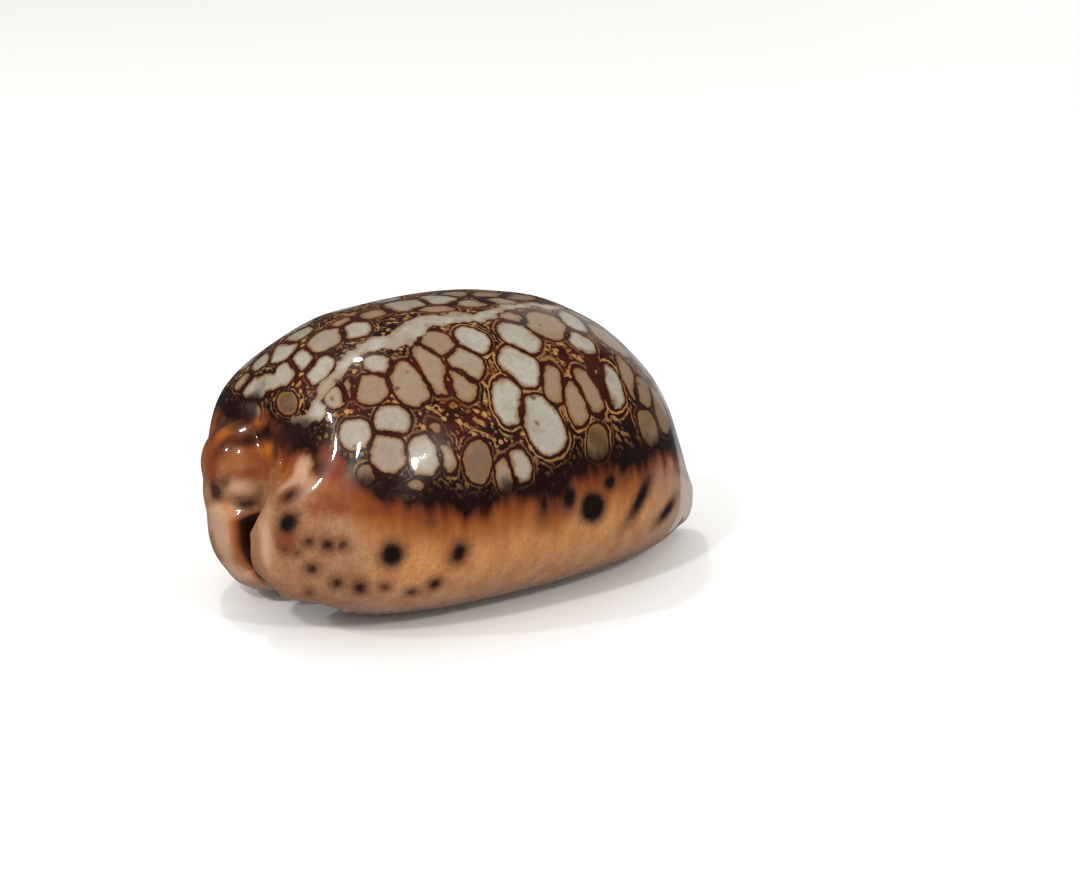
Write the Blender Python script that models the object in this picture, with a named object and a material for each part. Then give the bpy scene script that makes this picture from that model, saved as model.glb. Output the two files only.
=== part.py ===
"""A reticulated cowrie shell: one hollow, thick-walled piece with a toothed slit along its base.

Axes: -X is the posterior end, where the spire is buried, and +X the anterior end. -Y is the outer lip's side
and +Y the columella's side. The shell stands on the flat spots of its base, at Z = 0.
The origin is on the base, under the middle of the shell's length and width.
"""

import math
from types import SimpleNamespace

import bmesh
import bpy
from mathutils import Vector

MM = 0.001

# The outside of the body. Its end lobes reach a little farther than its two X values.
OUTSIDE = SimpleNamespace(
    widest_x=-3.58 * MM,
    posterior_x=-30.11 * MM,
    anterior_x=30.52 * MM,
    width=46.0 * MM,
    height=37.4 * MM,
    widest_z=14.0 * MM,
    posterior_plan=2.67,
    anterior_plan=2.22,
    posterior_arch=2.93,
    anterior_arch=2.38,
    back_fullness=2.05,
    base_fullness=2.35,
    posterior_notch=15.2 * MM,
    anterior_notch=8.1 * MM,
    posterior_base=5.7 * MM,
    anterior_base=1.3 * MM,
    base_curl=0.84,
    floor_rise=0.0,
    outer_lip_rest=0.6 * MM,
    columella_rest=1.1 * MM,
    lip_rise=2.0 * MM,
    rim=2.7 * MM,
    posterior_flare=0.8 * MM,
    anterior_flare=0.3 * MM,
    posterior_lobe=2.9 * MM,
    anterior_lobe=4.17 * MM,
    posterior_tuck=1.0,
    anterior_tuck=0.15,
    posterior_lobe_reach=8,
    anterior_lobe_reach=31,
    posterior_lobe_window=(0.08, 0.4),
    anterior_lobe_window=(0.22, 0.52),
)

# The hollow inside it, which leaves a thin back and a thick base.
HOLLOW = SimpleNamespace(
    widest_x=-2.55 * MM,
    posterior_x=-27.75 * MM,
    anterior_x=27.95 * MM,
    width=42.4 * MM,
    height=35.8 * MM,
    widest_z=15.2 * MM,
    posterior_plan=2.6,
    anterior_plan=2.2,
    posterior_arch=2.8,
    anterior_arch=2.25,
    back_fullness=2.05,
    base_fullness=2.35,
    posterior_notch=13.7 * MM,
    anterior_notch=8.4 * MM,
    posterior_base=7.2 * MM,
    anterior_base=4.4 * MM,
    base_curl=0.9,
    floor_rise=4.0 * MM,
    outer_lip_rest=0.0,
    columella_rest=0.0,
    lip_rise=0.0,
    rim=1.3 * MM,
    posterior_flare=0.6 * MM,
    anterior_flare=0.2 * MM,
    posterior_lobe=0.0,
    anterior_lobe=0.0,
    posterior_tuck=0.0,
    anterior_tuck=0.0,
    posterior_lobe_reach=8,
    anterior_lobe_reach=8,
    posterior_lobe_window=(0.1, 0.4),
    anterior_lobe_window=(0.1, 0.4),
)

# The aperture's line in plan: its Y at the posterior end, the middle and the anterior end.
APERTURE_Y = (-1.8 * MM, -2.2 * MM, -0.4 * MM)
LIP_RISE_FROM = 0.94
OUTER_LIP_REST_WINDOW = (0.88, 0.94)
COLUMELLA_REST_WINDOW = (0.8, 0.88)
TUCK_FROM = 0.55
FLARE_REACH = 12
LIP_ROLL = 1.5 * MM
LIP_STEPS = 4
LIP_REACH = 0.85

# The teeth stand on both lips. Each is one row of the mesh, with a groove's row on either side of it.
TOOTH_COUNT = 27
FIRST_TOOTH_X = -23.09 * MM
LAST_TOOTH_X = 25.41 * MM
TOOTH_HEIGHT = 0.8 * MM
TOOTH_OVERHANG = 0.35 * MM
TOOTH_COLUMNS = 3

# The mesh: columns run from lip to lip over the back, and end rows close in round each end.
COLUMNS = 34
POSTERIOR_ROWS = 13
ANTERIOR_ROWS = 9
ARC_SAMPLES = 400
HOLLOW_ROW_STEP = 2

# The callus over the buried spire: a knob that looks out over the posterior canal.
KNOB_CENTRE = Vector((-28.75, 3.9, 18.9)) * MM
KNOB_RADIUS = 6.0 * MM
KNOB_WAY = Vector((-0.93, -0.17, 0.3)).normalized()
KNOB_BLEND = 1.0 * MM

# Swellings and hollows of the callus at the ends: centre, reach, direction and height.
SWELLINGS = (
    ("outer lip's posterior lobe", (-28.11, -9.0, 10.5), 7.0, (-0.85, -0.5, 0.1), 2.3),
    ("underside of that lobe", (-26.65, -9.0, 2.0), 5.0, (0.1, 0.3, 1.0), 1.3),
    ("shoulder of the outer lip", (-23.11, -17.5, 15.5), 7.0, (-0.4, -0.9, 0.3), 1.2),
    ("valley behind that shoulder", (-26.15, -7.5, 22.8), 5.0, (-0.7, -0.5, 0.5), -2.3),
    ("shoulder beside the knob", (-26.41, 11.0, 24.0), 7.5, (-0.85, 0.4, 0.35), 1.6),
    ("columella's posterior lobe", (-30.11, 6.5, 8.0), 5.5, (-1.0, 0.2, -0.2), 0.4),
    ("underside of that lobe", (-27.91, 8.5, 3.5), 6.0, (-0.4, 0.4, -0.8), 1.5),
    ("saddle between knob and canal", (-31.11, -1.5, 16.5), 3.0, (-1.0, 0.0, 0.2), -0.7),
    ("nose of the knob", (-33.15, 5.5, 15.5), 4.0, (-1.0, 0.0, -0.1), 1.3),
)

SHELL_COLOUR = (0.42, 0.27, 0.17, 1.0)
SHELL_ROUGHNESS = 0.15


def clear_scene():
    for thing in list(bpy.data.objects):
        bpy.data.objects.remove(thing)


def smooth_step(value, low, high):
    t = min(max((value - low) / (high - low), 0.0), 1.0)
    return t * t * (3.0 - 2.0 * t)


def closing(along, fullness):
    """How full the body still is at a station, from 1 in the middle to 0 at an end, on a superellipse."""
    return max(0.0, 1.0 - abs(along) ** fullness) ** (1.0 / fullness)


def aperture_y(along):
    posterior, middle, anterior = APERTURE_Y
    end = posterior if along < 0 else anterior
    return middle + (end - middle) * along * along


def body_point(form, along, around):
    """A point of the body. along is -1 at the posterior end and 1 at the anterior end.
    around is -1 at the outer lip, 0 on the ridge of the back and 1 at the columella's lip."""
    end = "posterior" if along < 0 else "anterior"

    def at_end(name):
        return getattr(form, f"{end}_{name}")

    side = abs(around)
    sign = 1.0 if around > 0 else -1.0
    plan = closing(along, at_end("plan"))
    arch = closing(along, at_end("arch"))
    reach = abs(at_end("x") - form.widest_x)
    lobed = smooth_step(side, *at_end("lobe_window")) - at_end("tuck") * smooth_step(side, TUCK_FROM, 1.0)
    x = form.widest_x + along * (reach + at_end("lobe") * lobed * abs(along) ** at_end("lobe_reach"))

    centre_y = aperture_y(along)
    rim = form.rim + at_end("flare") * abs(along) ** FLARE_REACH
    half_width = rim + (form.width / 2 - rim) * plan
    body_y = centre_y * (1.0 - plan)
    top = at_end("notch") + (form.height - at_end("notch")) * arch
    end_z = at_end("notch") - rim
    widest_z = end_z + (form.widest_z - end_z) * arch
    base = at_end("base") * (1.0 - plan) ** form.base_curl + form.floor_rise * plan

    if side <= 0.5:
        turn = side * math.pi
        y = body_y + sign * half_width * math.sin(turn) ** (2.0 / form.back_fullness)
        z = widest_z + (top - widest_z) * math.cos(turn) ** (2.0 / form.back_fullness)
    else:
        turn = (side - 0.5) * math.pi
        out = max(0.0, math.cos(turn)) ** (2.0 / form.base_fullness)
        down = math.sin(turn) ** (2.0 / form.base_fullness)
        lip_y = centre_y + sign * rim
        margin_y = body_y + sign * half_width
        y = lip_y + (margin_y - lip_y) * out
        z = widest_z - (widest_z - base) * down
        z += form.lip_rise * smooth_step(side, LIP_RISE_FROM, 1.0) * plan
        rest, window = form.outer_lip_rest, OUTER_LIP_REST_WINDOW
        if around > 0:
            rest, window = form.columella_rest, COLUMELLA_REST_WINDOW
        z -= rest * smooth_step(side, *window) * plan
    return Vector((x, y, z))


def swollen(point):
    """The point after the swellings of the end lobes and the knob over the spire."""
    for _, centre, reach, way, height in SWELLINGS:
        distance = (point - Vector(centre) * MM).length / (reach * MM)
        point = point + Vector(way).normalized() * height * MM * math.exp(-distance * distance)
    out = point - KNOB_CENTRE
    height = out.dot(KNOB_WAY)
    aside = (out - KNOB_WAY * height).length
    if aside >= KNOB_RADIUS or height < 0.0:
        return point
    dome = math.sqrt(KNOB_RADIUS ** 2 - aside ** 2)
    over = dome - height
    if over > KNOB_BLEND:
        return point + KNOB_WAY * over
    if over > -KNOB_BLEND:
        return point + KNOB_WAY * (over + KNOB_BLEND) ** 2 / (4.0 * KNOB_BLEND)
    return point


def station_of(x):
    end_x = OUTSIDE.posterior_x if x < OUTSIDE.widest_x else OUTSIDE.anterior_x
    return (x - OUTSIDE.widest_x) / abs(end_x - OUTSIDE.widest_x)


def end_stations(first, last, count):
    """Stations from first up to but without last, evenly spaced along the ridge of the back."""
    samples = [first + (last - first) * k / ARC_SAMPLES for k in range(ARC_SAMPLES + 1)]
    points = [body_point(OUTSIDE, along, 0.0) for along in samples]
    lengths = [0.0]
    for point, following in zip(points, points[1:]):
        lengths.append(lengths[-1] + (following - point).length)
    stations = []
    for k in range(count):
        goal = lengths[-1] * k / count
        place = max(n for n, length in enumerate(lengths) if length <= goal)
        stations.append(samples[place])
    return stations


def row_stations():
    """The rows' stations from -1 to 1, and the numbers of the rows that carry a tooth."""
    steps = 2 * TOOTH_COUNT
    length = LAST_TOOTH_X - FIRST_TOOTH_X
    toothed = [station_of(FIRST_TOOTH_X + length * k / steps) for k in range(steps + 1)]
    posterior = end_stations(-1.0, toothed[0], POSTERIOR_ROWS)
    anterior = end_stations(1.0, toothed[-1], ANTERIOR_ROWS)
    crests = {POSTERIOR_ROWS + k for k in range(1, steps, 2)}
    return posterior + toothed + anterior[::-1], crests


def make_sheet(bm, form, stations, columns, shape):
    """A sheet of quads over the stations, wrapped from lip to lip, as a grid of its vertices."""
    grid = []
    for along in stations:
        row = []
        for k in range(columns + 1):
            point = shape(body_point(form, along, -1.0 + 2.0 * k / columns))
            row.append(bm.verts.new(point))
        grid.append(row)
    for row, following in zip(grid, grid[1:]):
        for k in range(columns):
            bm.faces.new((row[k], following[k], following[k + 1], row[k + 1]))
    return grid


def rim_of(grid):
    """The vertices round the aperture, in order: the outer lip, the anterior canal, the columella's lip and the
    posterior canal."""
    outer_lip = [row[0] for row in grid]
    anterior = grid[-1][1:]
    columella = [row[-1] for row in grid[-2::-1]]
    posterior = grid[0][-2:0:-1]
    return outer_lip + anterior + columella + posterior


def raise_teeth(grid, crests):
    """Lifts each tooth's row next to both lips, fading out over the base, and hangs it over the aperture."""
    last = len(grid[0]) - 1
    for row in crests:
        for step in range(TOOTH_COLUMNS):
            share = 1.0 - step / TOOTH_COLUMNS
            for column, inward in ((step, 1.0), (last - step, -1.0)):
                grid[row][column].co.z -= TOOTH_HEIGHT * share
                grid[row][column].co.y += inward * TOOTH_OVERHANG * share


def rest_flat(grid):
    """Flattens the lowest spots of the base, on which the shell stands."""
    for row in grid:
        for vertex in row:
            vertex.co.z = max(vertex.co.z, 0.0)


def rim_places(stations, columns):
    """The station and the turn of each vertex of the rim, in the same order."""
    turns = [-1.0 + 2.0 * k / columns for k in range(columns + 1)]
    outer_lip = [(along, -1.0) for along in stations]
    anterior = [(1.0, turn) for turn in turns[1:]]
    columella = [(along, 1.0) for along in stations[-2::-1]]
    posterior = [(-1.0, turn) for turn in turns[-2:0:-1]]
    return outer_lip + anterior + columella + posterior


def towards_aperture(point, along):
    """The level way from a point of the rim to the middle of the aperture, or down to it from a canal's top."""
    notch = OUTSIDE.posterior_notch if along < 0 else OUTSIDE.anterior_notch
    middle = Vector((point.x, aperture_y(along), min(point.z, notch - OUTSIDE.rim)))
    return (middle - point).normalized()


def roll_lips(bm, rim, places):
    """Rolls the rim over into the aperture and on towards the hollow's rim. Returns the last loop."""
    count = len(rim)
    curves = []
    for vertex, (along, around) in zip(rim, places):
        start = vertex.co.copy()
        bend = start + towards_aperture(start, along) * LIP_ROLL
        curves.append((start, bend, body_point(HOLLOW, along, around)))
    loop = rim
    for step in range(1, LIP_STEPS + 1):
        t = LIP_REACH * step / LIP_STEPS
        ring = []
        for start, bend, end in curves:
            place = start * (1.0 - t) ** 2 + bend * 2.0 * t * (1.0 - t) + end * t * t
            ring.append(bm.verts.new(place))
        for k in range(count):
            after = (k + 1) % count
            bm.faces.new((loop[after], loop[k], ring[k], ring[after]))
        loop = ring
    return loop


def make_shell():
    bm = bmesh.new()
    stations, crests = row_stations()
    outside = make_sheet(bm, OUTSIDE, stations, COLUMNS, swollen)
    raise_teeth(outside, crests)
    rest_flat(outside)
    throat = set(roll_lips(bm, rim_of(outside), rim_places(stations, COLUMNS)))

    hollow_stations = stations[::HOLLOW_ROW_STEP]
    hollow = make_sheet(bm, HOLLOW, hollow_stations, COLUMNS // 2, lambda point: point)
    hollow_rim = set(rim_of(hollow))
    open_edges = [e for e in bm.edges if e.is_boundary]
    rings = [e for e in open_edges if e.verts[0] in throat or e.verts[0] in hollow_rim]
    bmesh.ops.bridge_loops(bm, edges=rings)
    bmesh.ops.recalc_face_normals(bm, faces=bm.faces)
    mesh = bpy.data.meshes.new("shell")
    bm.to_mesh(mesh)
    bm.free()
    mesh.shade_smooth()
    return bpy.data.objects.new("shell", mesh)


def shell_material():
    material = bpy.data.materials.new("glossy shell")
    material.use_nodes = True
    surface = material.node_tree.nodes["Principled BSDF"]
    surface.inputs["Base Color"].default_value = SHELL_COLOUR
    surface.inputs["Roughness"].default_value = SHELL_ROUGHNESS
    surface.inputs["Metallic"].default_value = 0.0
    return material


clear_scene()
cowrie = bpy.data.collections.new("cowrie shell")
bpy.context.scene.collection.children.link(cowrie)
shell = make_shell()
shell.data.materials.append(shell_material())
cowrie.objects.link(shell)
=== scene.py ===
import math
import random

import bpy
import numpy as np
from mathutils import Matrix, Vector, noise as swell
from mathutils.bvhtree import BVHTree


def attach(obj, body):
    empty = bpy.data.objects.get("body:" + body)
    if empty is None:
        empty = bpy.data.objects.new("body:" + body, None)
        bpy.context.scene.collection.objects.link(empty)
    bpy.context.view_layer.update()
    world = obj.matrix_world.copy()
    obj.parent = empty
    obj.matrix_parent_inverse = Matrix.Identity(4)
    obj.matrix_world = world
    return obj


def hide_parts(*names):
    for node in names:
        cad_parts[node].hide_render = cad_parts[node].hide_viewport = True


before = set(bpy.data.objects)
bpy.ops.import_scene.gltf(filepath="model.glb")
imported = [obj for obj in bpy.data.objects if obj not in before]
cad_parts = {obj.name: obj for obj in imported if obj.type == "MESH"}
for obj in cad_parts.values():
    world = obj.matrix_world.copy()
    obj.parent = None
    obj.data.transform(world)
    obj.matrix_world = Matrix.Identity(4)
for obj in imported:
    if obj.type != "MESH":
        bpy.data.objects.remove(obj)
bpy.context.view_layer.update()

MM = 0.001

# The camera
# It stands where the photograph was taken from: a little above the shell, on the outer lip's side, and turned
# towards the spire end. It comes first, because the markings' places are given in the photograph's pixels.

PHOTO_MIDDLE = (540.0, 444.5)
PHOTO_WIDTH = 1080
FOCAL_PIXELS = 3208.85
SENSOR_WIDTH = 36.0
VIEW_AZIMUTH = math.radians(-32.0)
VIEW_ELEVATION = math.radians(18.24)
VIEW_DISTANCE = 420.0 * MM
VIEW_AIM = Vector((0.91, 0.0, 16.0)) * MM
AIM_SIDEWAYS = 10.02 * MM
AIM_UP = 0.97 * MM

behind = Vector((
    math.sin(VIEW_AZIMUTH) * math.cos(VIEW_ELEVATION),
    -math.cos(VIEW_AZIMUTH) * math.cos(VIEW_ELEVATION),
    math.sin(VIEW_ELEVATION),
))
level = Vector((math.cos(VIEW_AZIMUTH), math.sin(VIEW_AZIMUTH), 0.0))
eye = VIEW_AIM + behind * VIEW_DISTANCE
look_at = VIEW_AIM + level * AIM_SIDEWAYS - level.cross(behind) * AIM_UP
forward = (look_at - eye).normalized()
rightward = forward.cross(Vector((0.0, 0.0, 1.0))).normalized()
upward = rightward.cross(forward)

bpy.ops.object.select_all(action="DESELECT")
bpy.ops.object.camera_add(location=eye)
camera = bpy.context.object
camera.name = "camera"
camera.rotation_euler = Matrix((rightward, upward, -forward)).transposed().to_euler()
camera.data.sensor_width = SENSOR_WIDTH
camera.data.lens = FOCAL_PIXELS / PHOTO_WIDTH * SENSOR_WIDTH
camera.data.clip_start = 0.01
bpy.context.scene.camera = camera


# The shell: its form
# One piece of shell lime, laid down by the animal as it coiled and glazed over by its mantle. The outside is
# a domed back with two thick margins that turn in along the base as toothed lips, round a slit.
# All sizes are in mm, and x runs from the posterior end, where the spire is, to the anterior end.

OUTSIDE = dict(
    widest_x=-3.58,
    posterior_x=-30.11,
    anterior_x=30.52,
    width=46.0,
    height=37.4,
    widest_z=14.0,
    posterior_plan=2.67,
    anterior_plan=2.22,
    posterior_arch=2.93,
    anterior_arch=2.38,
    back_fullness=2.05,
    base_fullness=2.35,
    posterior_notch=15.2,
    anterior_notch=8.1,
    posterior_base=5.7,
    anterior_base=1.3,
    base_curl=0.84,
    floor_rise=0.0,
    outer_lip_rest=0.6,
    columella_rest=1.1,
    lip_rise=2.0,
    rim=2.7,
    posterior_flare=0.8,
    anterior_flare=0.3,
    posterior_lobe=2.9,
    anterior_lobe=4.17,
    posterior_tuck=1.0,
    anterior_tuck=0.15,
    posterior_lobe_reach=8,
    anterior_lobe_reach=31,
    posterior_lobe_window=(0.08, 0.4),
    anterior_lobe_window=(0.22, 0.52),
)
HOLLOW = dict(
    OUTSIDE,
    widest_x=-2.55,
    posterior_x=-27.75,
    anterior_x=27.95,
    width=42.4,
    height=35.8,
    widest_z=15.2,
    posterior_plan=2.6,
    anterior_plan=2.2,
    posterior_arch=2.8,
    anterior_arch=2.25,
    posterior_notch=13.7,
    anterior_notch=8.4,
    posterior_base=7.2,
    anterior_base=4.4,
    base_curl=0.9,
    floor_rise=4.0,
    outer_lip_rest=0.0,
    columella_rest=0.0,
    lip_rise=0.0,
    rim=1.3,
    posterior_flare=0.6,
    anterior_flare=0.2,
    posterior_lobe=0.0,
    anterior_lobe=0.0,
    posterior_tuck=0.0,
    anterior_tuck=0.0,
)
APERTURE_Y = (-1.8, -2.2, -0.4)
LIP_RISE_FROM = 0.94
OUTER_LIP_REST_WINDOW = (0.88, 0.94)
COLUMELLA_REST_WINDOW = (0.8, 0.88)
TUCK_FROM = 0.55
FLARE_REACH = 12
LIP_ROLL = 1.5
LIP_STEPS = 7
LIP_REACH = 0.9

TOOTH_COUNT = 27
FIRST_TOOTH_X = -23.09
LAST_TOOTH_X = 25.41
TOOTH_HEIGHT = 0.8
TOOTH_OVERHANG = 0.35
TOOTH_FROM = 0.83

KNOB_CENTRE = (-28.75, 3.9, 18.9)
KNOB_RADIUS = 6.0
KNOB_WAY = (-0.93, -0.17, 0.3)
KNOB_BLEND = 1.0
SWELLINGS = (
    ("outer lip's posterior lobe", (-28.11, -9.0, 10.5), 7.0, (-0.85, -0.5, 0.1), 2.3),
    ("underside of that lobe", (-26.65, -9.0, 2.0), 5.0, (0.1, 0.3, 1.0), 1.3),
    ("shoulder of the outer lip", (-23.11, -17.5, 15.5), 7.0, (-0.4, -0.9, 0.3), 1.2),
    ("valley behind that shoulder", (-26.15, -7.5, 22.8), 5.0, (-0.7, -0.5, 0.5), -2.3),
    ("shoulder beside the knob", (-26.41, 11.0, 24.0), 7.5, (-0.85, 0.4, 0.35), 1.6),
    ("columella's posterior lobe", (-30.11, 6.5, 8.0), 5.5, (-1.0, 0.2, -0.2), 0.4),
    ("underside of that lobe", (-27.91, 8.5, 3.5), 6.0, (-0.4, 0.4, -0.8), 1.5),
    ("saddle between knob and canal", (-31.11, -1.5, 16.5), 3.0, (-1.0, 0.0, 0.2), -0.7),
    ("nose of the knob", (-33.15, 5.5, 15.5), 4.0, (-1.0, 0.0, -0.1), 1.3),
)

ROWS = 290
COLUMNS = 244
HOLLOW_ROWS = 90
HOLLOW_COLUMNS = 60
RIDGE_SAMPLES = 2000
SWELL_LENGTH = 6.0
SWELL_HEIGHT = 0.16
SWELL_FROM_HEIGHT = (2.0, 6.0)


def smooth_step(value, low, high):
    t = np.clip((value - low) / (high - low), 0.0, 1.0)
    return t * t * (3.0 - 2.0 * t)


def aperture_y(along):
    posterior, middle, anterior = APERTURE_Y
    end = np.where(along < 0, posterior, anterior)
    return middle + (end - middle) * along * along


def body_points(form, along, around):
    """Points of the body in mm. along runs from the posterior end, -1, to the anterior end, 1.
    around runs from the outer lip, -1, over the ridge of the back, 0, to the columella's lip, 1."""
    posterior = along < 0

    def at_end(name):
        return np.where(posterior, form["posterior_" + name], form["anterior_" + name])

    far = np.abs(along)
    side = np.abs(around)
    sign = np.sign(around)
    plan = np.maximum(0.0, 1.0 - far ** at_end("plan")) ** (1.0 / at_end("plan"))
    arch = np.maximum(0.0, 1.0 - far ** at_end("arch")) ** (1.0 / at_end("arch"))
    windows = form["posterior_lobe_window"], form["anterior_lobe_window"]
    lobed = np.where(posterior, smooth_step(side, *windows[0]), smooth_step(side, *windows[1]))
    lobed = lobed - at_end("tuck") * smooth_step(side, TUCK_FROM, 1.0)
    reach = np.abs(at_end("x") - form["widest_x"]) + at_end("lobe") * lobed * far ** at_end("lobe_reach")
    x = form["widest_x"] + along * reach

    centre_y = aperture_y(along)
    rim = form["rim"] + at_end("flare") * far ** FLARE_REACH
    half_width = rim + (form["width"] / 2 - rim) * plan
    body_y = centre_y * (1.0 - plan)
    top = at_end("notch") + (form["height"] - at_end("notch")) * arch
    end_z = at_end("notch") - rim
    widest_z = end_z + (form["widest_z"] - end_z) * arch
    base = at_end("base") * (1.0 - plan) ** form["base_curl"] + form["floor_rise"] * plan

    rise = np.clip(side, 0.0, 0.5) * math.pi
    back_y = body_y + sign * half_width * np.sin(rise) ** (2.0 / form["back_fullness"])
    back_z = widest_z + (top - widest_z) * np.cos(rise) ** (2.0 / form["back_fullness"])
    turn = np.clip(side - 0.5, 0.0, 0.5) * math.pi
    out = np.maximum(0.0, np.cos(turn)) ** (2.0 / form["base_fullness"])
    down = np.sin(turn) ** (2.0 / form["base_fullness"])
    lip_y = centre_y + sign * rim
    base_y = lip_y + (body_y + sign * half_width - lip_y) * out
    base_z = widest_z - (widest_z - base) * down
    base_z = base_z + form["lip_rise"] * smooth_step(side, LIP_RISE_FROM, 1.0) * plan
    outer_rest = form["outer_lip_rest"] * smooth_step(side, *OUTER_LIP_REST_WINDOW)
    columella_rest = form["columella_rest"] * smooth_step(side, *COLUMELLA_REST_WINDOW)
    base_z = base_z - np.where(around > 0, columella_rest, outer_rest) * plan
    upper = side <= 0.5
    return np.stack([x, np.where(upper, back_y, base_y), np.where(upper, back_z, base_z)], axis=-1)


def unit(vector):
    vector = np.array(vector, dtype=float)
    return vector / np.linalg.norm(vector)


def swollen(points):
    """The points after the swellings of the end lobes and the knob of callus over the buried spire."""
    for _, centre, reach, way, height in SWELLINGS:
        apart = ((points - np.array(centre)) ** 2).sum(axis=-1, keepdims=True)
        points = points + unit(way) * height * np.exp(-apart / reach ** 2)
    way = unit(KNOB_WAY)
    out = points - np.array(KNOB_CENTRE)
    height = out @ way
    aside = np.linalg.norm(out - height[..., None] * way, axis=-1)
    dome = np.sqrt(np.maximum(KNOB_RADIUS ** 2 - aside ** 2, 0.0))
    over = dome - height
    push = np.where(over > KNOB_BLEND, over, np.maximum(over + KNOB_BLEND, 0.0) ** 2 / (4.0 * KNOB_BLEND))
    reached = (aside < KNOB_RADIUS) & (height > 0.0)
    return points + way * np.where(reached, push, 0.0)[..., None]


def tooth_share(x, around):
    """How much of a tooth stands at each place, from 0 between the teeth to 1 on a crest at the slit."""
    share = np.clip((np.abs(around) - TOOTH_FROM) / (1.0 - TOOTH_FROM), 0.0, 1.0)
    place = (x - FIRST_TOOTH_X) / (LAST_TOOTH_X - FIRST_TOOTH_X) * TOOTH_COUNT
    crest = 0.5 - 0.5 * np.cos(2.0 * math.pi * np.clip(place, 0.0, TOOTH_COUNT))
    return crest * share


def toothed(points, around):
    """The points after the teeth on both lips, and flat where the base rests."""
    lift = tooth_share(points[..., 0], around)
    points = points.copy()
    points[..., 2] -= TOOTH_HEIGHT * lift
    points[..., 1] -= np.sign(around) * TOOTH_OVERHANG * lift
    points[..., 2] = np.maximum(points[..., 2], 0.0)
    return points


def lip_points(along, around, ring):
    """Points of the rolled lip and throat, between the outside's rim at ring 0 and the hollow's rim."""
    start = toothed(swollen(body_points(OUTSIDE, along, around)), around)
    end = body_points(HOLLOW, along, around)
    notch = np.where(along < 0, OUTSIDE["posterior_notch"], OUTSIDE["anterior_notch"])
    middle_z = np.minimum(start[:, 2], notch - OUTSIDE["rim"])
    middle = np.stack([start[:, 0], aperture_y(along), middle_z], axis=-1)
    way = middle - start
    way /= np.linalg.norm(way, axis=-1, keepdims=True)
    bend = start + way * LIP_ROLL
    t = (LIP_REACH * ring / LIP_STEPS)[:, None]
    return start * (1.0 - t) ** 2 + bend * 2.0 * t * (1.0 - t) + end * t * t


def evenly(points, count):
    """Where, from -1 to 1 along a line of evenly numbered points, cuts in equal steps of length fall."""
    steps = np.linalg.norm(np.diff(points, axis=0), axis=-1)
    length = np.concatenate([[0.0], np.cumsum(steps)])
    return np.interp(np.linspace(0.0, length[-1], count), length, np.linspace(-1.0, 1.0, len(points)))


def sheet(name, rows, columns):
    """A flat grid of faces whose vertices keep their station along the shell and their turn around it."""
    bpy.ops.object.select_all(action="DESELECT")
    bpy.ops.mesh.primitive_grid_add(x_subdivisions=rows, y_subdivisions=columns, size=2.0)
    made = bpy.context.object
    made.name = name
    flat = read_places(made.data)
    samples = np.linspace(-1.0, 1.0, RIDGE_SAMPLES)
    ridge = body_points(OUTSIDE, np.sin(samples * math.pi / 2), np.zeros(RIDGE_SAMPLES))
    section = body_points(OUTSIDE, np.zeros(RIDGE_SAMPLES), samples)
    stations = np.sin(evenly(ridge, rows + 1) * math.pi / 2)
    turns = evenly(section, columns + 1)
    write(made.data, "along", np.interp(flat[:, 0], np.linspace(-1.0, 1.0, rows + 1), stations))
    write(made.data, "around", np.interp(flat[:, 1], np.linspace(-1.0, 1.0, columns + 1), turns))
    write(made.data, "ring", np.zeros(len(flat)))
    return made


def read_places(mesh):
    values = np.empty(len(mesh.vertices) * 3)
    mesh.vertices.foreach_get("co", values)
    return values.reshape(-1, 3)


def write(mesh, name, values):
    """Keeps a number or a vector for each vertex, for the material to read."""
    kind = "FLOAT" if values.ndim == 1 else "FLOAT_VECTOR"
    kept = mesh.attributes.get(name) or mesh.attributes.new(name, kind, "POINT")
    field = "value" if values.ndim == 1 else "vector"
    kept.data.foreach_set(field, np.ascontiguousarray(values, dtype=np.float32).ravel())


def read(mesh, name):
    values = np.empty(len(mesh.vertices), dtype=np.float32)
    mesh.attributes[name].data.foreach_get("value", values)
    return values.astype(float)


shell = sheet("cowrie_shell", ROWS, COLUMNS)
bpy.ops.object.mode_set(mode="EDIT")
bpy.ops.mesh.select_mode(type="EDGE")
bpy.ops.mesh.select_all(action="DESELECT")
bpy.ops.mesh.select_non_manifold()
for ring in range(1, LIP_STEPS + 1):
    bpy.ops.mesh.extrude_region()
    bpy.ops.object.mode_set(mode="OBJECT")
    chosen = np.empty(len(shell.data.vertices), dtype=bool)
    shell.data.vertices.foreach_get("select", chosen)
    rings = read(shell.data, "ring")
    rings[chosen] = ring
    write(shell.data, "ring", rings)
    bpy.ops.object.mode_set(mode="EDIT")
bpy.ops.object.mode_set(mode="OBJECT")

along = read(shell.data, "along")
around = read(shell.data, "around")
rings = read(shell.data, "ring")
outer = toothed(swollen(body_points(OUTSIDE, along, around)), around)
placed = np.where(rings[:, None] > 0.5, lip_points(along, around, rings), outer)
shell.data.vertices.foreach_set("co", (placed * MM).ravel())

hollow = sheet("hollow", HOLLOW_ROWS, HOLLOW_COLUMNS)
inner = body_points(HOLLOW, read(hollow.data, "along"), read(hollow.data, "around"))
hollow.data.vertices.foreach_set("co", (inner * MM).ravel())
write(hollow.data, "ring", np.full(len(inner), LIP_STEPS + 1.0))

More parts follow.
